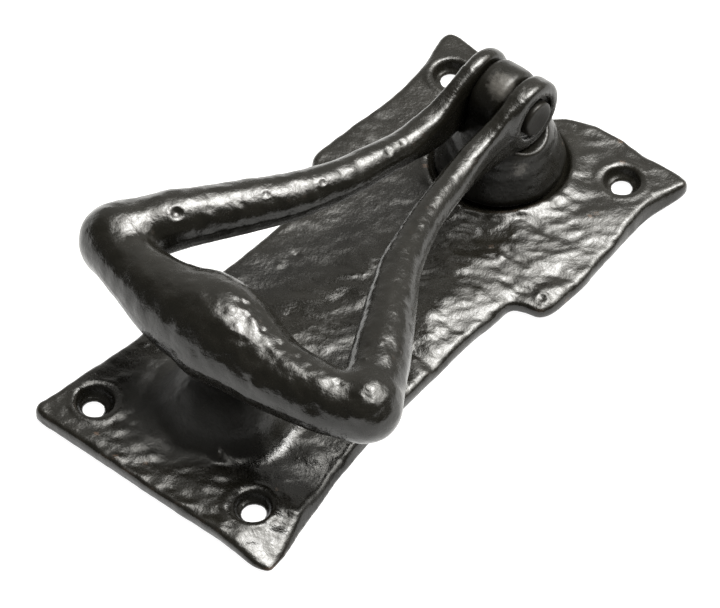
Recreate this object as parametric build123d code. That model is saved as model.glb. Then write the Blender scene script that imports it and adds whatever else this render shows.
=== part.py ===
"""Cast-iron door knocker: back plate, pivot post, stirrup-shaped knocker, pivot pin.

Millimetres.  Origin at the centre of the flat back face, +Z out of the door,
+Y up the door (towards the pivot), +X to the right seen from the front.
"""

import math
import os

from build123d import *

# ---------------------------------------------------------------- dimensions
PLATE_T = 4.0            # plate thickness at the rim
PLATE_TOP_ROUND = 1.1    # rounding of the plate's front edge
CORNER_R = 1.6           # rounding of the plate's four tips, seen from the front

HOLE_D = 4.7             # clearance hole for a No. 8 wood screw
CSK_D = 9.5              # countersink at the front face, 90 degrees
TOP_HOLES_X = 26.75      # half spacing of the upper pair
TOP_HOLES_Y = 66.8
LOW_HOLES_X = 23.8       # half spacing of the lower pair
LOW_HOLES_Y = -66.3

POST_Y = 53.0            # pivot post and pivot axis, along the plate
POST_RIM_R = 16.0
LIP_IN_R = 16.7          # cast lip round the post's rim
LIP_TOP_Z = 5.0
LIP_OUT_R = 21.0
SPIGOT_R = 5.0           # post's tail through the plate
SPIGOT_FIT = 0.02        # interference on the radius
PEEN_R = 7.2             # peened tail in the back of the plate
PEEN_POCKET_R = 7.6
PEEN_POCKET_T = 1.6
PEEN_T = 1.2

PIVOT_Z = 26.5           # pivot axis above the back face
LUG_HALF = 4.4           # half thickness of the lug between the eyes
LUG_R = 8.8              # lug's round top, about the pivot axis
LUG_ROUND = 1.7          # rounding of the lug's long edges
SHOULDER_Z = 16.4        # post's flat shoulders under the eyes
SHOULDER_HALF_Y = 11.0

STRIKE_Y = -48.0         # striking boss cast on the plate
STRIKE_TOP_Z = 17.8

PIN_R = 4.0
PIN_RUN = 0.05           # radial running clearance in the eyes
PIN_PRESS = 0.02         # interference in the lug
PIN_HEAD_R = 4.6
PIN_HEAD_PROUD = 1.1     # how far each head stands out of its eye
PIN_HEAD_CH = 0.4
HEAD_GAP = 0.06          # axial play between head and recess floor

EYE_R = 9.2
EYE_IN = 4.9             # inner face of each eye, from the middle
EYE_OUT_R = 10.6         # outer face of the right eye
EYE_OUT_L = 9.4          # outer face of the left eye
EYE_ROUND = 2.0
EYE_RECESS_R = 5.77
EYE_RECESS_T = 1.2

# plate outline, front view, clockwise from the lower left tip
LEFT = [(-34.1, -75.4), (-33.7, -71.5), (-32.6, -65.5), (-31.5, -57.8),
        (-30.8, -51.5), (-30.2, -45.1), (-29.3, -31.0), (-28.4, -17.3),
        (-27.9, -8.0), (-27.6, 1.7), (-27.7, 9.0), (-28.4, 14.5),
        (-30.4, 18.6), (-33.2, 21.6), (-35.2, 24.1), (-36.0, 26.8),
        (-35.9, 30.0), (-35.5, 34.0), (-34.9, 39.4), (-34.2, 44.6),
        (-33.8, 50.2), (-33.8, 55.5), (-34.2, 61.5), (-34.9, 66.8),
        (-36.1, 71.4), (-36.9, 75.2)]
TOP = [(-36.0, 77.8), (-33.8, 78.3), (-31.4, 78.2), (-28.6, 77.9),
       (-22.0, 77.5), (-15.0, 77.2), (-9.8, 76.6), (-6.6, 75.4),
       (-4.2, 73.3), (-2.2, 71.6), (0.0, 71.0), (2.2, 72.3),
       (4.2, 74.4), (6.6, 76.0), (9.5, 77.0), (13.0, 77.5),
       (18.0, 77.7), (25.0, 77.5), (30.0, 77.8), (34.9, 77.9),
       (37.4, 77.5)]
RIGHT = [(39.2, 75.4), (38.8, 73.2), (38.0, 69.3), (37.3, 65.5),
         (37.0, 62.0), (37.1, 58.5), (37.4, 55.0), (37.8, 51.5),
         (38.2, 47.5), (38.5, 43.0), (38.8, 39.0), (39.0, 35.0),
         (38.9, 31.0), (38.7, 27.5), (38.1, 24.6), (37.0, 22.9),
         (35.4, 22.1), (33.4, 21.5), (31.6, 20.7), (30.5, 19.4),
         (30.1, 17.5), (30.1, 14.0), (29.9, 9.4), (29.6, 4.0),
         (29.7, -1.0), (29.9, -6.5), (30.0, -13.0), (30.3, -23.0),
         (30.8, -33.4), (31.5, -39.1), (32.2, -44.6), (33.2, -50.0),
         (34.2, -55.3), (35.2, -60.6), (36.3, -65.7), (37.2, -70.0),
         (38.0, -74.4)]
LOW = [(36.8, -76.8), (33.4, -77.3), (28.0, -77.1), (22.0, -76.8),
       (15.0, -76.9), (5.0, -77.1), (-5.0, -77.2), (-15.9, -77.4),
       (-24.0, -77.6), (-31.8, -77.7)]

# knocker arm stations from the eye down: x, y, z, half thickness, half height
ARM_RIGHT = [(7.6, 50.0, 26.2, 2.75, 8.2), (7.5, 45.0, 25.2, 2.6, 7.5),
             (7.1, 41.4, 25.2, 2.6, 6.8), (6.9, 37.6, 25.3, 3.1, 6.0), (7.35, 32.0, 25.5, 3.4, 4.9),
             (8.25, 25.0, 26.0, 3.75, 4.0), (9.6, 18.0, 26.5, 3.85, 3.9),
             (11.4, 10.0, 27.0, 4.05, 4.05), (14.15, 2.0, 27.6, 4.5, 4.5),
             (17.4, -6.0, 28.3, 5.05, 5.05), (22.0, -14.0, 28.9, 5.8, 5.8),
             (27.0, -22.0, 29.4, 6.35, 6.35), (31.9, -30.0, 29.8, 6.85, 6.85),
             (36.3, -38.0, 29.8, 7.3, 7.3), (38.1, -42.4, 29.6, 7.5, 7.5)]
ARM_LEFT = [(-7.15, 50.0, 26.2, 2.3, 8.2), (-7.2, 45.0, 25.2, 2.3, 7.5),
            (-7.1, 41.4, 25.2, 2.6, 6.8), (-7.0, 37.6, 25.3, 3.25, 6.0), (-7.4, 32.0, 25.5, 3.8, 4.9),
            (-8.3, 25.0, 26.0, 4.05, 4.1), (-9.6, 18.0, 26.5, 4.35, 4.35),
            (-11.3, 10.0, 27.0, 4.85, 4.85), (-14.1, 2.0, 27.6, 5.25, 5.25),
            (-17.4, -6.0, 28.3, 5.75, 5.75), (-22.3, -14.0, 28.9, 6.05, 6.05),
            (-27.2, -22.0, 29.4, 6.3, 6.3), (-32.0, -30.0, 29.8, 6.9, 6.9),
            (-36.6, -38.0, 29.8, 7.7, 7.7), (-38.2, -41.8, 29.6, 8.0, 8.0)]
# centre and radius of the two lower corners
CORNER_RIGHT = (38.1, -42.7, 29.5, 8.6)
CORNER_LEFT = (-38.2, -41.9, 29.6, 9.2)
# bottom bar stations from left to right: x, y, z, radius
BAR = [(-38.2, -42.4, 29.6, 7.8), (-34.5, -45.0, 29.8, 7.4),
       (-30.0, -46.6, 30.0, 7.35), (-24.0, -47.6, 30.0, 8.35),
       (-18.0, -48.3, 30.0, 9.5), (-12.0, -48.4, 30.1, 10.75),
       (-6.0, -47.8, 30.3, 12.0), (0.0, -47.9, 30.3, 12.4),
       (6.0, -48.3, 30.2, 11.2), (12.0, -48.8, 30.0, 9.85),
       (18.0, -49.0, 30.0, 8.8), (24.0, -48.5, 30.0, 8.2),
       (30.0, -47.3, 29.9, 7.9), (34.5, -45.3, 29.7, 7.7),
       (38.1, -43.2, 29.5, 7.5)]


# ------------------------------------------------------------------- helpers
def lathe(points, x=0.0, y=0.0):
    """Solid of revolution about a vertical axis; points are (radius, z)."""
    wire = Polyline(*[(r, 0, z) for r, z in points], close=True)
    face = Face(Wire(wire.edges()))
    return Pos(x, y, 0) * revolve(face, axis=Axis.Z, revolution_arc=360)


def x_rod(radius, x0, x1, y, z):
    """Cylinder along X from x0 to x1."""
    return Pos((x0 + x1) / 2, y, z) * Rot(0, 90, 0) * Cylinder(radius, abs(x1 - x0))


def tube(stations):
    """Loft through elliptical sections square to the path of the stations."""
    centres = [Vector(*s[:3]) for s in stations]
    sections = []
    for i, s in enumerate(stations):
        a = centres[max(i - 1, 0)]
        b = centres[min(i + 1, len(centres) - 1)]
        along = (b - a).normalized()
        side = Vector(0, 0, 1).cross(along).normalized()
        plane = Plane(origin=centres[i], x_dir=side, z_dir=along)
        sections.append(plane * Ellipse(s[3], s[4]))
    return loft(sections)


# ---------------------------------------------------------------- back plate
def back_plate():
    runs = [LEFT, TOP, RIGHT, LOW]
    edges = []
    for i, run in enumerate(runs):
        edges.append(Spline(*[(x, y, 0) for x, y in run]))
        nxt = runs[(i + 1) % 4][0]
        edges.append(Line((run[-1][0], run[-1][1], 0), (nxt[0], nxt[1], 0)))
    outline = Face(Wire([e.edges()[0] for e in edges]))
    plate = extrude(outline, amount=PLATE_T, dir=(0, 0, 1))
    tips = [e for e in plate.edges().filter_by(Axis.Z)]
    plate = fillet(tips, CORNER_R * 0.5)
    rim = plate.faces().sort_by(Axis.Z)[-1].outer_wire().edges()
    plate = fillet(rim, PLATE_TOP_ROUND)

    lip = lathe([(LIP_IN_R, PLATE_T - 1.0), (LIP_IN_R, LIP_TOP_Z - 0.35),
                 (LIP_IN_R + 0.5, LIP_TOP_Z), (LIP_IN_R + 1.3, LIP_TOP_Z - 0.1),
                 (LIP_OUT_R - 1.6, PLATE_T + 0.25), (LIP_OUT_R, PLATE_T - 0.05),
                 (LIP_OUT_R, PLATE_T - 1.0)], 0, POST_Y)
    lip = lip & extrude(outline, amount=2 * PLATE_T, dir=(0, 0, 1))

    t = STRIKE_TOP_Z
    profile = Spline((0, 0, t), (4.6, 0, t - 0.95), (8.6, 0, t - 3.4),
                     (11.6, 0, t - 7.0), (13.8, 0, t - 10.4),
                     (16.2, 0, t - 12.8), (19.8, 0, PLATE_T - 0.05),
                     tangents=[(1, 0, 0), (1, 0, -0.12)])
    strike_face = Face(Wire([
        profile.edges()[0],
        Line((19.8, 0, PLATE_T - 0.05), (19.8, 0, PLATE_T - 1.5)).edges()[0],
        Line((19.8, 0, PLATE_T - 1.5), (0, 0, PLATE_T - 1.5)).edges()[0],
        Line((0, 0, PLATE_T - 1.5), (0, 0, t)).edges()[0]]))
    strike = Pos(0, STRIKE_Y, 0) * revolve(strike_face, axis=Axis.Z, revolution_arc=360)

    plate = plate + lip + strike

    csk_depth = (CSK_D - HOLE_D) / 2
    for x, y in ((-TOP_HOLES_X, TOP_HOLES_Y), (TOP_HOLES_X, TOP_HOLES_Y),
                 (-LOW_HOLES_X, LOW_HOLES_Y), (LOW_HOLES_X, LOW_HOLES_Y)):
        cutter = lathe([(0, -1), (HOLE_D / 2, -1), (HOLE_D / 2, PLATE_T - csk_depth),
                        (CSK_D / 2, PLATE_T), (CSK_D / 2 + 0.4, PLATE_T + 0.4),
                        (0, PLATE_T + 0.4)], x, y)
        plate = plate - cutter

    plate = plate - lathe([(0, -1), (PEEN_POCKET_R, -1), (PEEN_POCKET_R, PEEN_POCKET_T),
                           (SPIGOT_R, PEEN_POCKET_T), (SPIGOT_R, PLATE_T + 1),
                           (0, PLATE_T + 1)], 0, POST_Y)
    return plate


# ---------------------------------------------------------------- pivot post
def pivot_post():
    s = SPIGOT_R + SPIGOT_FIT
    body = lathe([(0, PEEN_POCKET_T - PEEN_T), (PEEN_R - 0.9, PEEN_POCKET_T - PEEN_T),
                  (PEEN_R, PEEN_POCKET_T - 0.5), (PEEN_R, PEEN_POCKET_T),
                  (s, PEEN_POCKET_T), (s, PLATE_T), (14.8, PLATE_T), (15.7, PLATE_T + 0.5),
                  (POST_RIM_R, PLATE_T + 1.1), (15.95, PLATE_T + 1.8),
                  (15.5, PLATE_T + 3.2), (14.9, 8.9), (14.3, 10.6), (13.7, 12.6),
                  (13.1, 14.4), (12.4, SHOULDER_Z), (0, SHOULDER_Z)], 0, POST_Y)
    hull = make_hull((Pos(0, PIVOT_Z) * Circle(LUG_R)).edges()
                     + (Pos(0, SHOULDER_Z - 1.0) * Rectangle(2 * SHOULDER_HALF_Y, 2.0)).edges())
    side = Plane(origin=(-LUG_HALF, POST_Y, 0), x_dir=(0, 1, 0), z_dir=(1, 0, 0))
    lug = extrude(side * hull, amount=2 * LUG_HALF, dir=(1, 0, 0))
    long_edges = [e for e in lug.edges() if e.center().Z > SHOULDER_Z + 0.1
                  and abs(abs(e.center().X) - LUG_HALF) < 1e-3]
    lug = fillet(long_edges, LUG_ROUND)
    keep = Pos(0, POST_Y, 20) * Cylinder(12.9, 40)
    post = body + (lug & keep)
    return post - x_rod(PIN_R - PIN_PRESS, -20, 20, POST_Y, PIVOT_Z)


# ------------------------------------------------------------------- knocker
def knocker_ring():
    shape = tube([(x, y, z, r, r) for x, y, z, r in BAR])
    for s, arm, corner, out in ((1, ARM_RIGHT, CORNER_RIGHT, EYE_OUT_R),
                                (-1, ARM_LEFT, CORNER_LEFT, EYE_OUT_L)):
        cx, cy, cz, cr = corner
        eye = x_rod(EYE_R, s * EYE_IN, s * out, POST_Y, PIVOT_Z)
        rims = [e for e in eye.edges() if e.geom_type == GeomType.CIRCLE]
        rims.sort(key=lambda e: s * e.center().X)
        eye = fillet(rims[-1:], EYE_ROUND)
        eye = fillet([e for e in eye.edges() if e.geom_type == GeomType.CIRCLE
                      and abs(s * e.center().X - EYE_IN) < 1e-3], EYE_ROUND * 0.6)
        shape = shape + Pos(cx, cy, cz) * Sphere(cr)
        shape = shape + (tube(arm) + eye)
    for s, out in ((1, EYE_OUT_R), (-1, EYE_OUT_L)):
        shape = shape - x_rod(EYE_RECESS_R, s * (out - EYE_RECESS_T),
                              s * (out + 4), POST_Y, PIVOT_Z)
        shape = shape - x_rod(PIN_R + PIN_RUN, s * (EYE_IN - 3), s * (out + 4),
                              POST_Y, PIVOT_Z)
    return shape


# ----------------------------------------------------------------- pivot pin
def pivot_pin():
    pts = []
    for s, out in ((-1, EYE_OUT_L), (1, EYE_OUT_R)):
        base = s * (out - EYE_RECESS_T + HEAD_GAP)
        face = s * (out + PIN_HEAD_PROUD)
        tip = [(PIN_R, base), (PIN_HEAD_R, base),
               (PIN_HEAD_R, face - s * PIN_HEAD_CH),
               (PIN_HEAD_R - PIN_HEAD_CH, face), (0, face)]
        pts += tip[::-1] if s < 0 else tip
    wire = Polyline(*[(r, 0, z) for r, z in pts], close=True)
    pin = revolve(Face(Wire(wire.edges())), axis=Axis.Z, revolution_arc=360)
    return Pos(0, POST_Y, PIVOT_Z) * Rot(0, 90, 0) * pin


# -------------------------------------------------------------------- output
os.makedirs("parts", exist_ok=True)
for name, make in (("back_plate", back_plate), ("pivot_post", pivot_post),
                   ("knocker_ring", knocker_ring), ("pivot_pin", pivot_pin)):
    solid = make()
    solids = solid.solids()
    box = solid.bounding_box()
    print(name, "solids", len(solids), "volume", round(solid.volume, 1),
          "min", [round(v, 2) for v in box.min], "max", [round(v, 2) for v in box.max],
          "valid", solid.is_valid)
    one = solids[0]
    one.label = name
    export_step(one, f"parts/{name}.step")
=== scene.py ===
import math

import bpy
import numpy as np
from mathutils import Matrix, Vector


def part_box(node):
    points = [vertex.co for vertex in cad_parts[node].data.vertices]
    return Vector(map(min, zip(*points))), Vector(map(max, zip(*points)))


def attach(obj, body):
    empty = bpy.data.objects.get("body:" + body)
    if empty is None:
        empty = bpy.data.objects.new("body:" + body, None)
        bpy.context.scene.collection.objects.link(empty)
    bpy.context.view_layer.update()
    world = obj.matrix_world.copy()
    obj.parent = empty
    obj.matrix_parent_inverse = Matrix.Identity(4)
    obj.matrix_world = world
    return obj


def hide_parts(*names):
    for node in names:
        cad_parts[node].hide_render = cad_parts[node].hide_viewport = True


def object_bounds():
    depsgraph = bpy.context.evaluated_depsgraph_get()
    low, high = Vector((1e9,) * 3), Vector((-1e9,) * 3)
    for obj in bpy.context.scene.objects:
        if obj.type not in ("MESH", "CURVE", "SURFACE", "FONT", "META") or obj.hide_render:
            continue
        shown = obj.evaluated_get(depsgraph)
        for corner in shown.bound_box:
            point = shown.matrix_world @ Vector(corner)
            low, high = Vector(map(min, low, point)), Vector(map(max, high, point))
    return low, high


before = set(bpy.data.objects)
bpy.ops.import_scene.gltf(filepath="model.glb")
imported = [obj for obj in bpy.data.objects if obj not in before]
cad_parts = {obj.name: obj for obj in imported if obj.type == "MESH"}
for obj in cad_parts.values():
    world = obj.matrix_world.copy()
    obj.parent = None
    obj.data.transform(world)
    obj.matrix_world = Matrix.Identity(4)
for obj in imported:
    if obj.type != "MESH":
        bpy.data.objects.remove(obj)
CAD_LO, CAD_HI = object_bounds()
MM = 0.001

# --------------------------------------------------------------- noise helpers
_TABLES = {}


def lattice(seed):
    if seed not in _TABLES:
        _TABLES[seed] = np.random.RandomState(seed).rand(32, 32, 32).astype(np.float32) * 2 - 1
    return _TABLES[seed]


def noise(p, size, seed):
    """Smooth value noise in -1..1, features about `size` mm across."""
    g = lattice(seed)
    if np.isscalar(size):
        c, s, c2, s2 = math.cos(seed), math.sin(seed), math.cos(seed * 2.3), math.sin(seed * 2.3)
        turn = np.array([[c, -s, 0], [s * c2, c * c2, -s2], [s * s2, c * s2, c2]])
        q = p @ turn.T / size
    else:
        q = p / np.asarray(size, float)
    i = np.floor(q).astype(int)
    t = q - i
    t = t * t * t * (t * (t * 6 - 15) + 10)
    i &= 31
    j = (i + 1) & 31
    x0, y0, z0, x1, y1, z1 = i[:, 0], i[:, 1], i[:, 2], j[:, 0], j[:, 1], j[:, 2]
    tx, ty, tz = t[:, 0], t[:, 1], t[:, 2]
    a = g[x0, y0, z0] * (1 - tx) + g[x1, y0, z0] * tx
    b = g[x0, y1, z0] * (1 - tx) + g[x1, y1, z0] * tx
    c = g[x0, y0, z1] * (1 - tx) + g[x1, y0, z1] * tx
    d = g[x0, y1, z1] * (1 - tx) + g[x1, y1, z1] * tx
    a = a * (1 - ty) + b * ty
    c = c * (1 - ty) + d * ty
    return a * (1 - tz) + c * tz


def step(x, a, b):
    """0 below a, 1 above b, smooth between."""
    t = np.clip((x - a) / (b - a), 0, 1)
    return t * t * (3 - 2 * t)


def smin(a, b, k):
    h = np.clip(k - np.abs(a - b), 0, None) / k
    return np.minimum(a, b) - h * h * k / 4


def smax(a, b, k):
    return -smin(-a, -b, k)


# ------------------------------------------------------------ surface extraction
def sample(F, g):
    """Trilinear value of grid F at grid coordinates g."""
    n = np.array(F.shape)
    g = np.clip(g, 0, n - 1.001)
    i = np.floor(g).astype(int)
    t = g - i
    x, y, z = i[:, 0], i[:, 1], i[:, 2]
    tx, ty, tz = t[:, 0], t[:, 1], t[:, 2]
    a = F[x, y, z] * (1 - tx) + F[x + 1, y, z] * tx
    b = F[x, y + 1, z] * (1 - tx) + F[x + 1, y + 1, z] * tx
    c = F[x, y, z + 1] * (1 - tx) + F[x + 1, y, z + 1] * tx
    d = F[x, y + 1, z + 1] * (1 - tx) + F[x + 1, y + 1, z + 1] * tx
    a = a * (1 - ty) + b * ty
    c = c * (1 - ty) + d * ty
    return a * (1 - tz) + c * tz


def extract(field, lo, hi, h, coarse=3, reach=1.7):
    """Closed quad mesh of the surface field = 0 (negative inside), cells of h mm."""
    lo, hi = np.array(lo, float), np.array(hi, float)
    H = h * coarse
    nc = np.ceil((hi - lo) / H).astype(int) + 1
    axes = [lo[a] + H * np.arange(nc[a]) for a in range(3)]
    P = np.stack(np.meshgrid(*axes, indexing="ij"), -1).reshape(-1, 3)
    C = field(P).reshape(nc)
    nf = (nc - 1) * coarse + 1
    idx = [np.minimum((np.arange(nf[a]) + coarse // 2) // coarse, nc[a] - 1) for a in range(3)]
    F = C[np.ix_(*idx)].astype(np.float64)
    near = np.argwhere(np.abs(F) < reach * H)
    F[near[:, 0], near[:, 1], near[:, 2]] = field(lo + near * h)
    F[F == 0] = 1e-7
    inside = F < 0
    cn = nf - 1
    total = int(np.prod(cn))
    acc, cnt = np.zeros((3, total)), np.zeros(total)
    quads = []
    for ax in range(3):
        o1, o2 = (ax + 1) % 3, (ax + 2) % 3
        sl0, sl1 = [slice(None)] * 3, [slice(None)] * 3
        sl0[ax], sl1[ax] = slice(0, -1), slice(1, None)
        e = np.argwhere(inside[tuple(sl0)] != inside[tuple(sl1)])
        e = e[(e[:, o1] > 0) & (e[:, o2] > 0) & (e[:, o1] < cn[o1]) & (e[:, o2] < cn[o2])]
        nxt = e.copy()
        nxt[:, ax] += 1
        f0, f1 = F[e[:, 0], e[:, 1], e[:, 2]], F[nxt[:, 0], nxt[:, 1], nxt[:, 2]]
        pos = e.astype(float)
        pos[:, ax] += f0 / (f0 - f1)
        ids = []
        for d1, d2 in ((1, 1), (0, 1), (0, 0), (1, 0)):
            c = e.copy()
            c[:, o1] -= d1
            c[:, o2] -= d2
            k = (c[:, 0] * cn[1] + c[:, 1]) * cn[2] + c[:, 2]
            ids.append(k)
            cnt += np.bincount(k, minlength=total)
            for a in range(3):
                acc[a] += np.bincount(k, weights=pos[:, a], minlength=total)
        q = np.stack(ids, 1)
        q[f0 > 0] = q[f0 > 0][:, ::-1]
        quads.append(q)
    used = np.flatnonzero(cnt)
    number = np.full(total, -1)
    number[used] = np.arange(len(used))
    g = (acc[:, used] / cnt[used]).T
    quads = number[np.concatenate(quads)]
    for _ in range(3):
        v = sample(F, g)
        grad = np.stack([sample(F, g + s) - sample(F, g - s) for s in np.eye(3) * 0.5], 1)
        mag = np.maximum((grad * grad).sum(1), 1e-4)
        g = g - np.clip(v / mag, -0.6, 0.6)[:, None] * grad
    return lo + g * h, quads


def make_mesh(name, verts, quads, node):
    """Object from mm vertices, kept inside the CAD box. The node argument is not used."""
    lo = np.array(CAD_LO) / MM + 0.01
    hi = np.array(CAD_HI) / MM - 0.01
    verts = np.clip(verts, lo, hi)
    me = bpy.data.meshes.new(name)
    me.vertices.add(len(verts))
    me.vertices.foreach_set("co", (verts * MM).astype(np.float32).ravel())
    me.loops.add(quads.size)
    me.loops.foreach_set("vertex_index", quads.astype(np.int32).ravel())
    me.polygons.add(len(quads))
    me.polygons.foreach_set("loop_start", np.arange(0, quads.size, 4, dtype=np.int32))
    me.update(calc_edges=True)
    me.validate()
    me.polygons.foreach_set("use_smooth", np.ones(len(me.polygons), bool))
    me.update()
    ob = bpy.data.objects.new(name, me)
    bpy.context.scene.collection.objects.link(ob)
    return ob


def spline(points, spacing):
    """Rows of Catmull-Rom samples through the rows of points, about `spacing` mm apart."""
    s = np.array(points, float)
    d = np.linalg.norm(np.diff(s[:, :3], axis=0), axis=1)
    u = np.r_[0, np.cumsum(d)]
    m = np.empty_like(s)
    m[1:-1] = (s[2:] - s[:-2]) / (u[2:] - u[:-2])[:, None]
    m[0], m[-1] = (s[1] - s[0]) / d[0], (s[-1] - s[-2]) / d[-1]
    n = max(2, int(u[-1] / spacing))
    t = np.linspace(0, u[-1], n + 1)
    i = np.clip(np.searchsorted(u, t, side="right") - 1, 0, len(d) - 1)
    h = d[i][:, None]
    x = ((t - u[i]) / d[i])[:, None]
    return ((2 * x**3 - 3 * x**2 + 1) * s[i] + (x**3 - 2 * x**2 + x) * h * m[i]
            + (-2 * x**3 + 3 * x**2) * s[i + 1] + (x**3 - x**2) * h * m[i + 1])


def ring_of(points, spacing=1.0):
    """Closed smooth outline through 2-D points."""
    p = np.array(points, float)
    ext = np.vstack([p[-2:], p, p[:3]])
    ext = np.c_[ext, np.zeros(len(ext))]
    d = np.linalg.norm(np.diff(ext, axis=0), axis=1)
    s = spline(ext, spacing)
    start = d[:2].sum()
    end = d[:2 + len(p)].sum()
    u = np.linspace(0, d.sum(), len(s))
    keep = (u >= start) & (u < end - spacing * 0.4)
    return s[keep][:, :2]


def polygon_distance(pts, poly):
    """Signed distance of 2-D points to a closed polygon, negative inside."""
    best = np.full(len(pts), 1e9)
    odd = np.zeros(len(pts), bool)
    x, y = pts[:, 0], pts[:, 1]
    for (ax, ay), (bx, by) in zip(poly, np.roll(poly, -1, axis=0)):
        ex, ey = bx - ax, by - ay
        t = np.clip(((x - ax) * ex + (y - ay) * ey) / (ex * ex + ey * ey + 1e-12), 0, 1)
        best = np.minimum(best, (x - ax - t * ex) ** 2 + (y - ay - t * ey) ** 2)
        if ay != by:
            odd ^= ((ay > y) != (by > y)) & (x < ex * (y - ay) / ey + ax)
    best = np.sqrt(best)
    return np.where(odd, -best, best)


class Map2:
    """Bilinear lookup of values on a regular 2-D grid."""

    def __init__(self, x0, y0, h, values):
        self.o, self.h, self.v = (x0, y0), h, values

    def __call__(self, x, y):
        n = self.v.shape
        gx = np.clip((x - self.o[0]) / self.h, 0, n[0] - 1.001)
        gy = np.clip((y - self.o[1]) / self.h, 0, n[1] - 1.001)
        i, j = np.floor(gx).astype(int), np.floor(gy).astype(int)
        a, b = gx - i, gy - j
        v = self.v
        return ((v[i, j] * (1 - a) + v[i + 1, j] * a) * (1 - b)
                + (v[i, j + 1] * (1 - a) + v[i + 1, j + 1] * a) * b)


def dimple(p, centre, radius, depth, rim=0.0):
    """Round dent in a field: positive adds depth (removes metal), with an optional raised rim."""
    d = np.linalg.norm(p - np.array(centre), axis=1) / radius
    v = depth * np.exp(-(d * 1.5) ** 2)
    if rim:
        v = v - rim * np.exp(-((d - 1.15) * 3.2) ** 2)
    return v


# ------------------------------------------------------------------ back plate
PLATE_FOOT = [
    (38.7, 76.5), (39.0, 73.3), (38.3, 69.3), (37.6, 65.4), (37.4, 61.9), (37.4, 58.6),
    (37.6, 55.4), (37.7, 52.2), (38.0, 49.1), (38.2, 46.0), (38.4, 42.8), (38.7, 39.8),
    (39.0, 36.7), (39.0, 33.4), (38.9, 30.1), (38.8, 26.7), (38.1, 24.6), (37.0, 23.0),
    (35.7, 22.3), (34.3, 22.1), (33.4, 21.8), (32.3, 21.2), (31.1, 20.7), (30.5, 20.0),
    (30.1, 19.0), (30.0, 17.7), (30.1, 16.1), (30.0, 12.8), (29.7, 9.4), (29.5, 6.0),
    (29.6, 2.8), (29.7, -0.3), (29.9, -6.5), (30.0, -12.9), (30.3, -23.0), (30.8, -33.4),
    (31.1, -36.3), (31.5, -39.1), (31.9, -41.8), (32.2, -44.6), (32.7, -47.3), (33.2, -50.0),
    (33.7, -52.6), (34.2, -55.3), (34.7, -58.0), (35.2, -60.6), (35.7, -63.2), (36.3, -65.7),
    (36.9, -68.2), (37.5, -70.8), (38.0, -75.0), (37.4, -76.3), (36.1, -76.7), (33.4, -77.1),
    (30.2, -76.9), (27.0, -76.7), (23.7, -76.4), (20.6, -76.4), (17.7, -76.5), (11.8, -76.8),
    (0.0, -76.9), (-9.8, -77.0), (-15.9, -77.1), (-22.0, -77.3), (-28.1, -77.4),
    (-31.4, -77.3), (-33.3, -76.8), (-34.1, -75.4), (-33.7, -71.5), (-32.6, -65.5),
    (-31.5, -57.8), (-30.8, -51.5), (-30.2, -45.1), (-29.3, -31.0), (-28.4, -17.3),
    (-27.9, -8.0), (-27.6, 1.7), (-27.7, 9.0), (-28.4, 14.5), (-30.4, 18.6), (-33.2, 21.6),
    (-35.2, 24.1), (-36.0, 26.8), (-35.9, 30.0), (-35.5, 34.0), (-34.9, 39.4), (-34.2, 44.6),
    (-33.8, 50.2), (-33.8, 55.5), (-34.2, 61.5), (-34.9, 66.8), (-36.1, 71.4), (-36.8, 75.2),
    (-36.1, 77.4), (-34.1, 78.1), (-31.4, 78.0), (-28.6, 77.8), (-22.0, 77.5), (-15.0, 77.2),
    (-9.8, 76.6), (-6.6, 75.4), (-4.2, 73.3), (-2.2, 71.6), (0.0, 71.0), (1.7, 72.2),
    (3.4, 73.9), (5.2, 75.2), (7.4, 76.2), (10.6, 77.2), (17.7, 77.7), (25.6, 77.3),
    (32.5, 77.8), (35.5, 77.9), (37.8, 77.6)]
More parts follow.
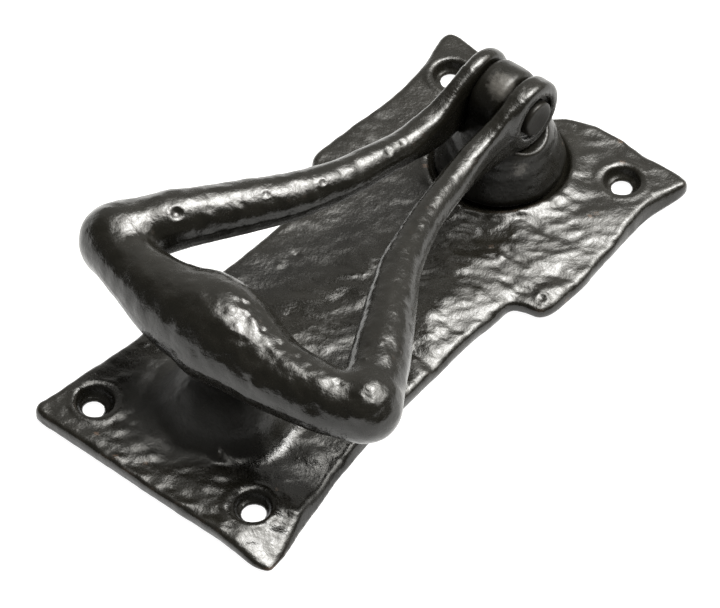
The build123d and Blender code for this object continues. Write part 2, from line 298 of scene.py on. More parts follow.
PLATE_RIM = [
    (38.9, 75.2), (38.2, 73.4), (37.5, 71.3), (36.9, 68.9), (36.6, 66.1), (36.5, 63.5),
    (36.8, 59.6), (36.9, 56.4), (37.7, 52.4), (38.2, 48.7), (38.5, 44.4), (38.8, 40.2),
    (39.0, 36.2), (38.6, 31.4), (38.7, 28.2), (38.4, 25.6), (37.9, 23.5), (37.1, 22.5),
    (36.1, 22.0), (34.6, 21.5), (33.4, 21.1), (32.1, 20.6), (30.8, 20.0), (30.3, 18.6),
    (30.2, 16.1), (30.1, 12.5), (29.9, 9.0), (29.6, 4.0), (29.6, -1.0), (29.8, -6.5),
    (29.9, -13.0), (30.1, -23.0), (30.3, -33.4), (30.5, -40.8), (31.1, -46.0), (32.4, -51.4),
    (33.4, -56.8), (34.1, -61.1), (35.0, -65.0), (36.2, -68.9), (37.1, -72.7), (37.4, -75.2),
    (36.2, -76.9), (33.3, -77.5), (25.7, -77.5), (14.6, -77.2), (2.7, -77.5), (-9.4, -77.6),
    (-22.1, -77.6), (-30.1, -77.6), (-32.0, -77.4), (-33.6, -76.6), (-34.2, -74.9),
    (-33.8, -72.5), (-33.3, -70.2), (-32.9, -67.9), (-32.5, -65.5), (-31.5, -57.8),
    (-30.8, -51.5), (-30.2, -45.1), (-29.3, -31.0), (-28.4, -17.3), (-27.9, -8.0),
    (-27.6, 1.7), (-27.7, 9.0), (-28.4, 14.5), (-30.4, 18.6), (-33.2, 21.6), (-35.4, 24.9),
    (-35.9, 27.1), (-35.8, 28.5), (-35.6, 31.2), (-35.4, 34.0), (-35.1, 36.7), (-34.9, 39.4),
    (-34.5, 42.0), (-34.1, 44.6), (-33.9, 47.3), (-33.7, 50.2), (-33.7, 56.2), (-33.9, 59.5),
    (-34.2, 63.0), (-34.8, 66.8), (-36.1, 71.4), (-36.8, 75.4), (-36.1, 77.5), (-34.1, 78.2),
    (-31.4, 78.1), (-28.6, 77.8), (-22.0, 77.4), (-15.0, 77.1), (-9.8, 76.5), (-6.6, 75.3),
    (-4.2, 73.2), (-2.2, 71.5), (0.0, 70.9), (1.6, 72.2), (3.2, 73.9), (4.8, 75.0), (6.6, 75.9),
    (8.5, 76.6), (10.6, 77.2), (12.9, 77.4), (17.7, 77.7), (22.8, 77.5), (25.6, 77.1),
    (27.8, 77.5), (32.5, 77.8), (34.9, 77.8), (37.6, 77.3), (38.7, 76.5)]
POST_Y, POST_AXIS_Z = 53.0, 26.5
STRIKE_Y = -48.0
# hole centre, countersink radius, through radius, shift of the through hole
HOLES = [(-26.75, 66.8, 4.7, 2.3, (-0.45, 0.15)), (26.75, 66.8, 4.7, 2.35, (0.1, 0.0)),
         (-23.8, -66.3, 4.7, 2.45, (-0.75, -0.9)), (23.8, -66.3, 4.8, 2.8, (0.65, 0.1))]


def plate_height(x, y):
    """Height of the plate's front at x, y (mm) with its cast relief."""
    p = np.c_[x, y, np.zeros_like(x)]
    u = x * 0.763 + y * 0.647
    v = -x * 0.647 + y * 0.763
    pa = np.c_[u, v, np.zeros_like(x)]
    # how lively the surface is: even at the upper left, strongly rippled right of the middle
    lively = 0.42 + 0.58 * step(x, -16, 12) * step(y, -36, -4) * (1 - 0.70 * step(y, 44, 60))
    lively = np.maximum(lively, 0.55 * step(-x + y * 0.0, -8, 30) * step(-y, -30, 20))
    lively = np.maximum(lively, 0.95 * step(-y, 57, 64))
    lively *= 1 - 0.75 * step(y, 46, 62) * step(-x, 8, 22)
    z = np.full_like(x, 4.0)
    warp = np.c_[noise(p, 9, 41), noise(p, 9, 42), np.zeros_like(x)] * 1.6
    z += 0.26 * noise(p + warp, 17, 3) * (0.45 + 0.55 * lively)
    z += 0.23 * noise(p + warp, 7.3, 4) * (0.2 + 0.8 * lively)
    z += 0.34 * lively * noise(pa + warp * 1.3, (8.0, 4.2, 5), 5)
    z += 0.20 * lively * noise(pa + warp, (4.0, 2.1, 5), 6)
    z += 0.105 * lively * noise(pa + warp, (2.0, 1.15, 5), 7)
    z += 0.024 * (0.3 + lively) * noise(p, 0.95, 8)
    # crown that falls away to the right-hand edge and to the lower end
    edge = np.interp(y, [-78, -60, -33, 6, 16, 30, 40, 60, 78],
                     [37.6, 34.6, 30.6, 30, 31.2, 38, 38.8, 37, 38.8])
    fall = np.clip(1 - (edge - x) / 14.0, 0, 1)
    z += 0.75 * step(x, 0, 16) * step(y, -24, 0) * (1 - step(y, 58, 74)) - 1.58 * fall**1.6 \
        * step(y, -24, -4) * (1 - 0.93 * step(y, 44, 62))
    z += 0.45 * step(-y, 50, 62) * (1 - step(-y, 64, 78) * 1.6)
    # lower right tip droops
    tip = np.hypot(x - 37.5, y + 76.5)
    z -= 0.45 * (1 - step(tip, 0, 9))
    z -= 0.235 * np.clip(x - 27.5, 0, 10) * step(-y, 61, 66)
    z -= 0.10 * np.clip(x - 14, 0, 20) * step(-y, 38, 43) * (1 - step(-y, 52, 60)) * 0.6
    # lip round the post
    r = np.hypot(x, y - POST_Y)
    lump = 1 + 0.22 * noise(p, 6.5, 11)
    front = 0.5 - 0.5 * ((y - POST_Y) * 0.88 - x * 0.47) / np.maximum(r, 1)
    r = r + 0.9 * (1 - front)
    z += (0.25 + 0.95 * front) * (0.85 * np.exp(-((r - 18.6) / 1.5) ** 2)
                                  + 0.35 * np.exp(-((r - 20.6) / 2.4) ** 2)) * lump
    z = np.where(r < 18.4, z + (3.4 - z) * step(-r, -18.4 + 0.9 * (1 - front), -16.3), z)
    # striking boss
    prof = np.array([(0, 17.7), (2.2, 17.5), (4.6, 16.75), (8.6, 14.3), (11.6, 10.7), (13.8, 7.35),
                     (16.2, 4.75), (18.2, 3.3), (20.6, 1.8), (30, 0.0)])
    s = spline(np.c_[prof, np.zeros(len(prof))], 0.25)
    rb = np.hypot(x, y - STRIKE_Y) + 0.55 * noise(p, 7.5, 21) + 0.2 * noise(p, 3.1, 22)
    rb = np.where(np.hypot(x, y - STRIKE_Y) < 6, np.hypot(x, y - STRIKE_Y), rb)
    boss = np.interp(rb, s[:, 0], s[:, 1])
    z = z - 0.35 * (1 - step(rb, 17, 24))
    z = smax(z, boss, 1.6)
    flank = np.exp(-(((x + 7.6) / 2.3) ** 2 + ((y + 56.2) / 3.6) ** 2))
    z += flank * (0.55 * noise(pa, (1.8, 2.6, 3), 23) + 0.3 * noise(pa, (0.9, 1.3, 3), 24))
    # single casting marks
    for cx, cy, rr, dz in ((9.15, -61.0, 0.95, 0.95), (10.9, -60.5, 0.8, 0.4), (12.3, -60.2, 0.7, 0.25),
                           (18.3, 35.3, 0.62, 0.42), (-17.9, -2.0, 0.9, -0.38), (-17.3, -6.9, 1.2, -0.3),
                           (-18.9, -7.2, 0.6, 0.3), (-3.9, -70.0, 0.8, 0.3), (25.6, -45.5, 3.6, 0.40),
                           (19.0, -44.0, 3.0, 0.30), (20.2, 28.6, 1.1, 0.35), (3.5, 12.5, 0.8, -0.2),
                           (-7.0, -17.5, 0.9, -0.25), (6.2, 24.0, 1.0, 0.22), (27.0, -30.5, 1.1, 0.3)):
        z += dz * np.exp(-(((x - cx) ** 2 + (y - cy) ** 2) / rr**2))
    rr = np.hypot(x - 35.2, y - 25.7)
    z += 0.30 * np.exp(-((rr - 1.35) / 0.5) ** 2) - 0.30 * np.exp(-((rr / 0.8) ** 2))
    # soft raised rim and countersink at each screw hole
    for hx, hy, rc, rt, sh in HOLES:
        d = np.hypot(x - hx, y - hy)
        z = z + (4.05 - z) * 0.6 * (1 - step(d, 5, 9))
        z += 0.34 * np.exp(-((d - 6.0) / 0.95) ** 2)
        dc = np.hypot(x - hx - sh[0] * 0.5, y - hy - sh[1] * 0.5)
        cone = np.interp(dc, [0, 2.3, 3.75, 4.5, 4.75, 5.4], [0.9, 1.25, 2.1, 3.9, 4.7, 7.5])
        z = np.where(dc < 5.4, smin(z, cone, 0.45), z)
    return z


G0 = (-39.5, -80.0)
GH = 0.35
gx = G0[0] + GH * np.arange(int(82 / GH) + 1)
gy = G0[1] + GH * np.arange(int(162 / GH) + 1)
GX, GY = np.meshgrid(gx, gy, indexing="ij")
flat = np.c_[GX.ravel(), GY.ravel()]
rough_edge = -0.13 + 0.10 * noise(np.c_[flat, np.zeros(len(flat))], 3.4, 31) \
    + 0.05 * noise(np.c_[flat, np.zeros(len(flat))], 1.5, 32)
for tx, ty in ((38.6, -76.4), (-33.9, -77.0), (-36.4, 77.6), (38.9, 77.2)):
    rough_edge -= 0.42 * np.exp(-((flat[:, 0] - tx) ** 2 + (flat[:, 1] - ty) ** 2) / 12.0)
D_FOOT = Map2(*G0, GH, (polygon_distance(flat, ring_of(PLATE_FOOT)) + rough_edge).reshape(GX.shape))
D_RIM = Map2(*G0, GH, (polygon_distance(flat, ring_of(PLATE_RIM)) + rough_edge).reshape(GX.shape))
Z_TOP = plate_height(flat[:, 0], flat[:, 1]).reshape(GX.shape)
GZX, GZY = np.gradient(Z_TOP, GH)
STEEP = Map2(*G0, GH, np.sqrt(1 + np.clip(GZX**2 + GZY**2, 0, 9)))
Z_TOP = Map2(*G0, GH, Z_TOP)


def plate_field(P):
    x, y, z = P[:, 0], P[:, 1], P[:, 2]
    t = np.clip(z / 3.6, 0, 1.1)
    side = D_FOOT(x, y) * (1 - t) + D_RIM(x, y) * t
    top = (z - Z_TOP(x, y)) / STEEP(x, y)
    f = smax(side, top, 1.9)
    f = smax(f, -z, 0.5)
    for hx, hy, rc, rt, (sx, sy) in HOLES:
        d = np.hypot((x - hx - sx), (y - hy - sy))
        f = smax(f, rt + np.clip(1.15 - z, 0, 2) * 0.9 - d, 0.35)
    d = np.hypot(x, y - POST_Y)
    f = np.maximum(f, 5.0 - d)
    f = smax(f, -np.maximum(d - 7.6, z - 1.6), 0.3)
    return f


# ------------------------------------------------------------------ pivot post
BELL = [(16.0, 5.1), (15.95, 5.8), (15.5, 7.2), (14.9, 8.9), (14.3, 10.6), (13.7, 12.6),
        (13.2, 13.9), (12.75, 15.6), (12.0, 17.3), (10.8, 19.2), (8.8, 21.0), (6.0, 22.2), (3.0, 22.7)]
_s = spline(np.c_[BELL, np.zeros(len(BELL))], 0.6)[:, :2]
BELL_POLY = np.vstack([[(0, 0.45), (6.3, 0.45), (6.9, 0.7), (7.15, 1.1), (7.2, 1.6), (4.98, 1.6),
                        (4.98, 4.0), (14.6, 4.0), (15.3, 4.15), (15.8, 4.5)], _s, [(0, 22.8)]])
_ang = np.radians(np.linspace(-10.6, 190.6, 40))
LUG_POLY = np.vstack([np.c_[8.8 * np.cos(_ang), POST_AXIS_Z + 8.8 * np.sin(_ang)],
                      [(-11.0, 16.4), (-11.0, 13.5), (11.0, 13.5), (11.0, 16.4)]])


def post_field(P):
    x, y, z = P[:, 0], P[:, 1] - POST_Y, P[:, 2]
    r = np.hypot(x, y)
    f = polygon_distance(np.c_[np.abs(r), z], BELL_POLY)
    f = np.where(r < 1.0, np.maximum(z - 22.8, 0.45 - z), f)
    f = smax(f, smin(9.75 - np.hypot(y, z - POST_AXIS_Z), 40.0, 1), 0.6)
    lug = polygon_distance(np.c_[y, z], LUG_POLY) + 0.013 * x**2 * step(z, 20, 30)
    lug = smax(lug, np.abs(x) - 4.35, 1.9)
    lug = smax(lug, r - 12.7, 0.8)
    f = smin(f, lug, 0.8)
    big = np.abs(f) < 2.5
    n = np.zeros(len(P))
    q = P[big]
    n[big] = 0.13 * noise(q, 7.0, 51) + 0.06 * noise(q, 3.1, 52) + 0.022 * noise(q, 1.15, 53)
    quiet = 1 - 0.75 * ((z > 15.5) & (z < 18)) - 0.6 * (z < 4.4) * (r < 15)
    # cast seam down the right-hand side of the bell
    seam = 0.10 * np.exp(-((y - 7.5 + 0.35 * (z - 10)) / 0.7) ** 2) * (x > 0) * step(z, 6, 8) * (1 - step(z, 15, 16))
    f = f - n * quiet - seam
    f = f + dimple(P, (14.2, 47.2, 8.4), 1.0, 0.12, 0.08)
    bore = np.hypot(y, z - POST_AXIS_Z)
    return np.maximum(f, 3.98 - bore)


# -------------------------------------------------------------------- knocker
ARM_RIGHT = [(7.6, 50.5, 26.3, 2.75, 8.8), (7.5, 46.2, 25.9, 2.65, 8.0),
             (7.3, 42.4, 25.5, 2.65, 6.9), (7.1, 37.6, 25.3, 2.95, 5.7), (7.4, 32.0, 25.5, 3.3, 4.8),
             (8.25, 25.0, 26.0, 3.75, 4.0), (9.6, 18.0, 26.5, 3.85, 3.9),
             (11.4, 10.0, 27.0, 4.05, 4.05), (14.15, 2.0, 27.6, 4.5, 4.5),
             (17.4, -6.0, 28.3, 5.05, 5.05), (22.0, -14.0, 28.9, 5.8, 5.8),
             (27.0, -22.0, 29.4, 6.35, 6.35), (31.9, -30.0, 29.8, 6.85, 6.85),
             (36.3, -38.0, 29.8, 7.3, 7.3), (38.1, -42.4, 29.6, 7.5, 7.5)]
ARM_LEFT = [(-7.15, 50.5, 26.3, 2.3, 8.8), (-7.2, 46.2, 25.9, 2.35, 8.0),
            (-7.15, 42.4, 25.5, 2.6, 6.9), (-7.1, 37.6, 25.3, 3.05, 5.7), (-7.4, 32.0, 25.5, 3.6, 4.8),
            (-8.3, 25.0, 26.0, 4.05, 4.1), (-9.6, 18.0, 26.5, 4.35, 4.35),
            (-11.3, 10.0, 27.0, 4.85, 4.85), (-14.1, 2.0, 27.6, 5.25, 5.25),
            (-17.4, -6.0, 28.3, 5.8, 5.8), (-22.4, -14.0, 29.0, 6.2, 6.25),
            (-27.4, -22.0, 29.7, 6.6, 6.75), (-32.2, -30.0, 30.2, 7.15, 7.4),
            (-36.6, -38.0, 29.8, 7.7, 7.7), (-38.2, -41.8, 29.6, 8.0, 8.0)]
BAR = [(-38.2, -42.4, 29.6, 7.8), (-34.5, -45.0, 29.8, 7.4), (-30.0, -46.6, 30.0, 7.35),
       (-24.0, -47.6, 30.0, 8.35), (-18.0, -48.3, 30.0, 9.5), (-12.0, -48.4, 30.1, 10.75),
       (-6.0, -47.8, 30.3, 12.0), (0.0, -47.9, 30.3, 12.35), (6.0, -48.3, 30.2, 11.2),
       (12.0, -48.8, 30.0, 9.85), (18.0, -49.0, 30.0, 8.8), (24.0, -48.5, 30.0, 8.2),
       (30.0, -47.3, 29.9, 7.9), (34.5, -45.3, 29.7, 7.7), (38.1, -43.2, 29.5, 7.5)]
CORNERS = [(38.1, -42.7, 29.5, 8.5), (-38.4, -41.9, 28.7, 8.7)]


class Tube:
    def __init__(self, stations):
        s = [t if len(t) == 5 else (*t, t[3]) for t in stations]
        s = spline(s, 0.8)
        c = s[:, :3]
        t = np.gradient(c, axis=0)
        self.c, self.t = c, t / np.linalg.norm(t, axis=1)[:, None]
        side = np.cross([0, 0, 1.0], self.t)
        self.side = side / np.linalg.norm(side, axis=1)[:, None]
        self.up = np.cross(self.t, self.side)
        self.ra, self.rb = s[:, 3], s[:, 4]
        self.p = 2 + 1.9 * step(c[:, 1], 24, 40)
        ds = np.linalg.norm(np.diff(c, axis=0), axis=1).mean()
        self.dra, self.drb, self.ds = np.gradient(self.ra) / ds, np.gradient(self.rb) / ds, ds

    def __call__(self, P):
        i = np.empty(len(P), int)
        cc = (self.c**2).sum(1)
        for k in range(0, len(P), 60000):
            i[k:k + 60000] = (cc - 2 * (P[k:k + 60000] @ self.c.T)).argmin(1)
        w = P - self.c[i]
        e = (w * self.t[i]).sum(1)
        m = np.clip(e, -self.ds, self.ds)
        m = np.where((i == 0) & (m < 0) | (i == len(self.c) - 1) & (m > 0), 0, m)
        w = w - m[:, None] * self.t[i]
        e = e - m
        ra, rb = self.ra[i] + m * self.dra[i], self.rb[i] + m * self.drb[i]
        a, b = (w * self.side[i]).sum(1), (w * self.up[i]).sum(1)
        rm = np.minimum(ra, rb)
        k1 = np.sqrt((a / ra) ** 2 + (b / rb) ** 2 + (e / rm) ** 2)
        k2 = np.sqrt((a / ra**2) ** 2 + (b / rb**2) ** 2 + (e / rm**2) ** 2)
        f = k1 * (k1 - 1) / np.maximum(k2, 1e-6)
        sq = (self.p[i] > 2.001) & (i > 0) & (i < len(self.c) - 1)
        if sq.any():
            p, aa, bb = self.p[i][sq], np.abs(a[sq]) / ra[sq], np.abs(b[sq]) / rb[sq]
            k = (aa**p + bb**p + 1e-9) ** (1 / p)
            g = k ** (1 - p) * np.hypot(aa ** (p - 1) / ra[sq], bb ** (p - 1) / rb[sq])
            f[sq] = (k - 1) / np.maximum(g, 0.05)
        return f, a, b, ra, rb


T_BAR, T_RIGHT, T_LEFT = Tube(BAR), Tube(ARM_RIGHT), Tube(ARM_LEFT)
# dents (positive) and pimples (negative) seen on the knocker: x, y, z, radius, depth, rim
MARKS = [(-29.2, -31.3, 36.2, 1.7, 0.75, 0.12), (-31.3, -39.4, 35.2, 0.95, -0.45, 0),
         (-31.6, -43.0, 35.6, 0.9, -0.45, 0), (-18.3, -11.9, 34.3, 1.0, 0.20, 0.14),
         (-11.8, 0.7, 32.3, 1.0, 0.20, 0.14), (-7.3, 19.4, 30.3, 1.2, 0.30, 0.10),
         (-6.9, 24.1, 29.9, 1.0, 0.25, 0.10), (2.1, -50.5, 42.2, 0.9, 0.18, 0),
         (7.9, -53.1, 39.8, 1.1, 0.22, 0), (28.4, -53.2, 36.0, 0.7, 0.22, 0),
         (32.6, -36.4, 36.6, 1.1, -0.35, 0), (30.6, -33.2, 36.4, 0.9, 0.28, 0),
         (36.4, -44.6, 38.0, 1.3, 0.20, 0), (40.8, -45.0, 37.2, 1.6, 0.22, 0),
         (38.2, -39.6, 37.8, 1.2, 0.16, 0), (33.6, -46.4, 37.4, 1.0, 0.30, 0),
         (42.0, -40.6, 36.6, 1.3, 0.16, 0), (6.9, -47.8, 41.3, 1.0, 0.30, 0),
         (11.4, -47.3, 40.0, 1.1, 0.34, 0), (16.5, -47.3, 38.8, 1.1, 0.30, 0),
         (21.8, -47.0, 38.2, 1.0, 0.26, 0), (4.0, -45.0, 42.0, 1.2, 0.26, 0),
         (9.0, -44.6, 40.6, 1.0, 0.28, 0), (14.2, 6.9, 31.2, 1.1, -0.28, 0),
         (17.7, -4.5, 33.2, 1.1, 0.24, 0), (32.7, -30.3, 36.7, 1.0, -0.26, 0),
         (-20.9, -18.1, 34.2, 1.1, 0.22, 0), (-9.4, 8.7, 31.5, 1.0, -0.2, 0),
         (-24.5, -25.0, 35.6, 1.2, 0.20, 0), (-33.5, -37.0, 36.4, 1.4, 0.25, 0)]


def knocker_field(P):
    x, y, z = P[:, 0], P[:, 1], P[:, 2]
    fb, ab, bb, rab, rbb = T_BAR(P)
    fr, ar, br, rar, rbr = T_RIGHT(P)
    fl, al, bl, ral, rbl = T_LEFT(P)
    f = fb
    for cx, cy, cz, cr in CORNERS:
        f = smin(f, np.sqrt((x - cx) ** 2 + (y - cy) ** 2 + (z - cz) ** 2) - cr, 1.2)
    f = smin(f, fr, 2.0)
    f = smin(f, fl, 3.0)
    rho = np.hypot(y - POST_Y, z - POST_AXIS_Z)
    for s, out, rnd in ((1, 10.6, 1.75), (-1, 9.4, 1.9)):
        mid, half = (4.9 + out) / 2, (out - 4.9) / 2
        d1, d2 = rho - (9.2 - rnd), np.abs(s * x - mid) - (half - rnd)
        eye = np.hypot(np.maximum(d1, 0), np.maximum(d2, 0)) + np.minimum(np.maximum(d1, d2), 0) - rnd
        f = smin(f, eye, 1.2)
    # nothing reaches in over the lug
    gap = 4.85 - 1.5 * step(-y, -44, -36)
    f = np.where(y > 30, smax(f, gap - np.abs(x), 0.5), f)
    near = np.abs(f) < 2.6
    q = P[near]
    # cast texture: slow lumps, hammered pebbles, fine pebbles
    top = step(q[:, 2], 27, 33)
    calm = 1 - 0.9 * step(-q[:, 2], -20.5, -18.5) * (np.hypot(q[:, 0], q[:, 1] + 48) < 14)
    bar_top = step(-q[:, 1], 40, 44) * step(q[:, 2], 31, 35)
    n = 0.15 * noise(q, 10, 61) + 0.11 * noise(q, 4.8, 62)
    n += 0.12 * noise(q, 2.7, 63) * (0.45 + 0.55 * top) * (1 + 0.9 * bar_top * step(q[:, 0], -2, 8))
    n += 0.065 * noise(q, 1.45, 64) * (0.5 + 0.5 * top) * (1 + 0.8 * bar_top * step(q[:, 0], -2, 8))
    eye_calm = 1 - 0.75 * step(q[:, 1], 42, 48)
    d = -(n + 0.03) * calm * eye_calm
    for mx, my, mz, mr, md, rim in MARKS:
        d = d + dimple(q, (mx, my, mz), mr, md * 0.9, rim)
    f[near] += d
    # parting seam on both sides of every limb
    lift = 0.5 + 3.1 * step(y, 14, 46)
    nick = 0.6 + 0.4 * np.clip(noise(P, 2.1, 71) + 0.5, 0, 1.3)
    f -= np.where(fr < fl, 1, 0) * 0.17 * nick * np.exp(-((br - lift * (ar < 0)) / 0.42) ** 2) \
        * np.exp(-(np.clip(fr, -9, 9) / 1.2) ** 2) * (y > -36) * (y < 58) * (np.abs(ar) > 0.55 * rar)
    f -= np.where(fl <= fr, 1, 0) * 0.15 * nick * np.exp(-((bl - lift * (al > 0)) / 0.42) ** 2) \
        * np.exp(-(np.clip(fl, -9, 9) / 1.2) ** 2) * (y > -36) * (y < 58) * (np.abs(al) > 0.55 * ral)
    f -= 0.12 * nick * np.exp(-(bb / 0.45) ** 2) * np.exp(-(fb / 1.2) ** 2) * (y < -36) * (np.abs(x) < 34)
    for s, out in ((1, 10.6), (-1, 9.4)):
        f = smax(f, -np.maximum(rho - 5.77, (out - 1.2) - s * x), 0.35)
    f = np.where(y > 40, smax(f, 4.06 - rho, 0.2), f)
    return f


# ------------------------------------------------------------------ pivot pin
def pin_field(P):
    x, y, z = P[:, 0], P[:, 1] - POST_Y, P[:, 2] - POST_AXIS_Z
    r = np.hypot(y, z)
    r = r + 0.05 * noise(P, 3.5, 81) * step(np.abs(x), 8.6, 9.5)
    f = smax(r - 3.97, np.abs(x) - 10, 0.1)
    for s, out in ((1, 10.6), (-1, 9.4)):
        face = out + 1.08 - 0.010 * r**2
        head = smax(r - 4.55, s * x - face, 0.75)
        head = np.maximum(head, (out - 1.12) - s * x)
        f = np.minimum(f, head)
    return f + 0.012 * noise(P, 0.9, 82) * (np.abs(x) > 8.6)


# ---------------------------------------------------------------------- meshes
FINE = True
b = {n: (np.array(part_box(n)[0]) / MM, np.array(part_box(n)[1]) / MM)
     for n in ("back_plate", "pivot_post", "knocker_ring", "pivot_pin")}


def build(name, node, body, slot_name, field, h, pad=1.6, **kw):
    lo, hi = b[node]
    verts, quads = extract(field, lo - pad, hi + pad, h, **kw)
    ob = make_mesh(name, verts, quads, node)
    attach(ob, body)
    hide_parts(node)
    print(name, "quads", len(quads), "box", verts.min(0).round(2), verts.max(0).round(2))
    return ob


plate = build("plate_casting", "back_plate", "plate", "plate_iron", plate_field, 0.53 if FINE else 0.8)
post = build("post_casting", "pivot_post", "plate", "post_iron", post_field, 0.45 if FINE else 0.6)
ring = build("knocker_casting", "knocker_ring", "knocker", "ring_iron", knocker_field, 0.433 if FINE else 0.7)
pin = build("pin_rivet", "pivot_pin", "plate", "pin_steel", pin_field, 0.25)


# ------------------------------------------------------------------- materials
def iron(name, dark, pale, rough, grain, pebble, peel, specular=0.5, painted_highlights=(), worn=(0.062, 0.042, 0.030), matt=()):
    """Black semi-gloss coat over cast iron. Sizes are in metres."""
    mat = bpy.data.materials.new(name)
    mat.use_nodes = True
    nt = mat.node_tree
    n, l = nt.nodes, nt.links
    bsdf = n["Principled BSDF"]
    bsdf.inputs["Metallic"].default_value = 0.0
    bsdf.inputs["IOR"].default_value = 1.5
    bsdf.inputs["Specular IOR Level"].default_value = specular
    coord = n.new("ShaderNodeTexCoord").outputs["Object"]

    def tex(size, detail=2.0, roughness=0.5):
        t = n.new("ShaderNodeTexNoise")
        t.inputs["Scale"].default_value = 1.0 / size
        t.inputs["Detail"].default_value = detail
        t.inputs["Roughness"].default_value = roughness
        l.new(coord, t.inputs["Vector"])
        return t.outputs["Fac"]

    def ramp(fac, stops):
        r = n.new("ShaderNodeValToRGB")
        r.color_ramp.elements[0].position, r.color_ramp.elements[0].color = stops[0][0], (*stops[0][1], 1)
        r.color_ramp.elements[1].position, r.color_ramp.elements[1].color = stops[-1][0], (*stops[-1][1], 1)
        for pos, col in stops[1:-1]:
            e = r.color_ramp.elements.new(pos)
            e.color = (*col, 1)
        l.new(fac, r.inputs["Fac"])
        return r.outputs["Color"]

    def remap(fac, a, b, lo, hi):
        m = n.new("ShaderNodeMapRange")
        for k, v in zip(("From Min", "From Max", "To Min", "To Max"), (a, b, lo, hi)):
            m.inputs[k].default_value = v
        l.new(fac, m.inputs["Value"])
        return m.outputs["Result"]

    def math_node(op, a, b):
        m = n.new("ShaderNodeMath")
        m.operation = op
        for k, v in enumerate((a, b)):
            if isinstance(v, (int, float)):
                m.inputs[k].default_value = v
            else:
                l.new(v, m.inputs[k])
        return m.outputs["Value"]

    # colour: slow clouding, brownish where the coat is thin on the sharpest edges
    base = ramp(tex(0.0065, 4, 0.6), [(0.32, dark), (0.68, pale)])
    geo = n.new("ShaderNodeNewGeometry")
    edge = remap(geo.outputs["Pointiness"], 0.525, 0.585, 0.0, 1.0)
    edge = math_node("MULTIPLY", edge, remap(tex(0.0016, 3, 0.6), 0.40, 0.62, 0.15, 1.0))
    mix = n.new("ShaderNodeMix")
    mix.data_type = "RGBA"
    l.new(edge, mix.inputs["Factor"])
    l.new(base, mix.inputs["A"])
    mix.inputs["B"].default_value = (*worn, 1)
    colour = mix.outputs["Result"]
    for spot in painted_highlights:
        # painted highlight: a lighter grey spot standing in for light caught on the surface; centre and radius in
        # metres
        at = n.new("ShaderNodeVectorMath")
        at.operation = "DISTANCE"
        l.new(coord, at.inputs[0])
        at.inputs[1].default_value = spot[:3]
        far = math_node("ADD", at.outputs["Value"], remap(tex(0.0012, 3, 0.6), 0.3, 0.7, -0.0009, 0.0009))
        highlight_mix = n.new("ShaderNodeMix")
        highlight_mix.data_type = "RGBA"
        l.new(remap(far, spot[3] * 0.35, spot[3] * 1.15, 1.0, 0.0), highlight_mix.inputs["Factor"])
        l.new(colour, highlight_mix.inputs["A"])
        highlight_mix.inputs["B"].default_value = (0.058, 0.055, 0.050, 1)
        colour = highlight_mix.outputs["Result"]
    l.new(colour, bsdf.inputs["Base Color"])
    # roughness: patchy, with finer grain over it
    r1 = remap(tex(0.0042, 3, 0.55), 0.3, 0.7, rough[0], rough[1])
    r2 = remap(tex(0.00055, 2, 0.6), 0.3, 0.7, -0.045, 0.055)
    rough_fac = math_node("ADD", r1, r2)
    for spot in matt:
        # sand-cast skin left duller: centre, radius and how much rougher
        at = n.new("ShaderNodeVectorMath")
        at.operation = "DISTANCE"
        l.new(coord, at.inputs[0])
        at.inputs[1].default_value = spot[:3]
        rough_fac = math_node("ADD", rough_fac, remap(at.outputs["Value"], spot[3] * 0.7, spot[3] * 1.2, spot[4], 0.0))
    l.new(rough_fac, bsdf.inputs["Roughness"])
    # relief too fine for the mesh: pebbled skin, paint orange peel, sand grain
    prev = None
    for size, dist, det in ((0.0017, pebble, 2.0), (0.00075, peel, 2.0), (0.00028, grain, 3.0)):
        bump = n.new("ShaderNodeBump")
        bump.inputs["Strength"].default_value = 1.0
        bump.inputs["Distance"].default_value = dist
        l.new(tex(size, det, 0.55), bump.inputs["Height"])
        if prev is not None:
            l.new(prev, bump.inputs["Normal"])
        prev = bump.outputs["Normal"]
    l.new(prev, bsdf.inputs["Normal"])
    return mat


for ob, mat in (
        (plate, iron("plate_black", (0.0042, 0.0038, 0.0026), (0.0075, 0.0068, 0.0050), (0.21, 0.30),
                     0.000012, 0.00009, 0.00006, matt=((-0.005, -0.053, 0.008, 0.0165, 0.28),))),
        # post: painted highlights, two lighter grey spots on the lug top and on the bell
        (post, iron("post_black", (0.0040, 0.0037, 0.0026), (0.0070, 0.0064, 0.0048), (0.25, 0.35),
                    0.000022, 0.00006, 0.00004, 0.30, [(0.0022, 0.0500, 0.0347, 0.0037), (0.0113, 0.0466, 0.0144, 0.0019)])),
        (ring, iron("knocker_black", (0.0038, 0.0035, 0.0024), (0.0070, 0.0064, 0.0048), (0.19, 0.27),
                    0.000010, 0.00008, 0.00006, 0.47, worn=(0.013, 0.0105, 0.008))),
        (pin, iron("pin_black", (0.0050, 0.0046, 0.0034), (0.0085, 0.0078, 0.0060), (0.34, 0.44),
                   0.000012, 0.00004, 0.00002, 0.23, worn=(0.016, 0.013, 0.010)))):
    ob.data.materials.clear()
    ob.data.materials.append(mat)

# ------------------------------------------------------- floor, light and camera
AWAY = Vector((-0.6469, 0.7626, 0.0))     # from the camera across the object
RIGHT = Vector((0.7627, 0.6468, 0.0))


def towards(azimuth, elevation):
    """Direction by azimuth from straight away from the camera, + to its right."""
    a, e = math.radians(azimuth), math.radians(elevation)
    return (AWAY * math.cos(a) + RIGHT * math.sin(a)) * math.cos(e) + Vector((0, 0, math.sin(e)))


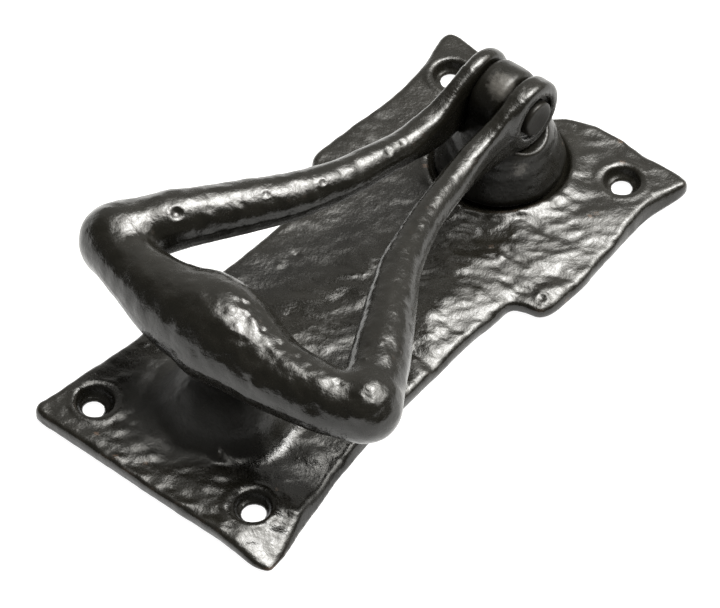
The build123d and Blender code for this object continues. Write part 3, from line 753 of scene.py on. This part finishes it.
def softbox(name, azimuth, elevation, distance, width, height, radiance):
    data = bpy.data.lights.new(name, "AREA")
    data.shape = "RECTANGLE"
    data.size, data.size_y = width, height
    data.energy = radiance * math.pi * width * height
    ob = bpy.data.objects.new(name, data)
    d = towards(azimuth, elevation)
    ob.location = d * distance
    ob.rotation_mode = "QUATERNION"
    ob.rotation_quaternion = d.to_track_quat("Z", "Y")
    bpy.context.scene.collection.objects.link(ob)
    ob.visible_camera = False
    return ob


softbox("key", 62, 66, 1.8, 0.62, 0.44, 20.0)

fme = bpy.data.meshes.new("floor")
fme.from_pydata([(-8, -8, -0.0006), (8, -8, -0.0006), (8, 8, -0.0006), (-8, 8, -0.0006)], [], [(0, 1, 2, 3)])
floor = bpy.data.objects.new("floor", fme)
bpy.context.scene.collection.objects.link(floor)
fm = bpy.data.materials.new("pale_floor")
fm.use_nodes = True
fb = fm.node_tree.nodes["Principled BSDF"]
fb.inputs["Base Color"].default_value = (0.25, 0.25, 0.245, 1)
fb.inputs["Roughness"].default_value = 0.9
fb.inputs["Specular IOR Level"].default_value = 0.1
fb.inputs["Emission Color"].default_value = (1, 1, 1, 1)
fb.inputs["Emission Strength"].default_value = 0.97
fme.materials.append(fm)

world = bpy.data.worlds.new("studio")
bpy.context.scene.world = world
world.use_nodes = True
wn, wl = world.node_tree.nodes, world.node_tree.links
bg = wn["Background"]
wc = wn.new("ShaderNodeTexCoord")


def glow(azimuth, elevation, d0, d1, low, high):
    """Soft patch of sky: `high` within the cosine d1 of its centre, `low` beyond d0."""
    dot = wn.new("ShaderNodeVectorMath")
    dot.operation = "DOT_PRODUCT"
    dot.inputs[1].default_value = towards(azimuth, elevation)
    wl.new(wc.outputs["Generated"], dot.inputs[0])
    mr = wn.new("ShaderNodeMapRange")
    mr.interpolation_type = "SMOOTHSTEP"
    for k, v in zip(("From Min", "From Max", "To Min", "To Max"), (d0, d1, low, high)):
        mr.inputs[k].default_value = v
    wl.new(dot.outputs["Value"], mr.inputs["Value"])
    return mr.outputs["Result"]


total = None
for part in (glow(20, 12, 0.02, 0.86, 0.13, 0.62), glow(59, 69, 0.860, 0.992, 0.0, 12.5),
             glow(78, 53, 0.88, 0.985, 0.0, 5.0)):
    if total is None:
        total = part
    else:
        add = wn.new("ShaderNodeMath")
        add.operation = "ADD"
        wl.new(total, add.inputs[0])
        wl.new(part, add.inputs[1])
        total = add.outputs["Value"]
wl.new(total, bg.inputs["Strength"])
bg.inputs["Color"].default_value = (1.0, 0.98, 0.925, 1)

cam_data = bpy.data.cameras.new("camera")
cam = bpy.data.objects.new("camera", cam_data)
bpy.context.scene.collection.objects.link(cam)
target = Vector((0.001504, -0.001386, 0.0))
back = Vector((0.4158, -0.4902, 0.7660)).normalized()
cam.location = target + back * 1.3
cam.rotation_mode = "QUATERNION"
cam.rotation_quaternion = back.to_track_quat("Z", "Y")
cam_data.sensor_width = 36.0
cam_data.lens = 272.77
cam_data.clip_start, cam_data.clip_end = 0.05, 60.0
bpy.context.scene.camera = cam
bpy.context.scene.view_settings.view_transform = "Standard"
bpy.context.scene.view_settings.look = "None"
bpy.context.scene.view_settings.exposure = 0.0
bpy.context.scene.view_settings.gamma = 1.0
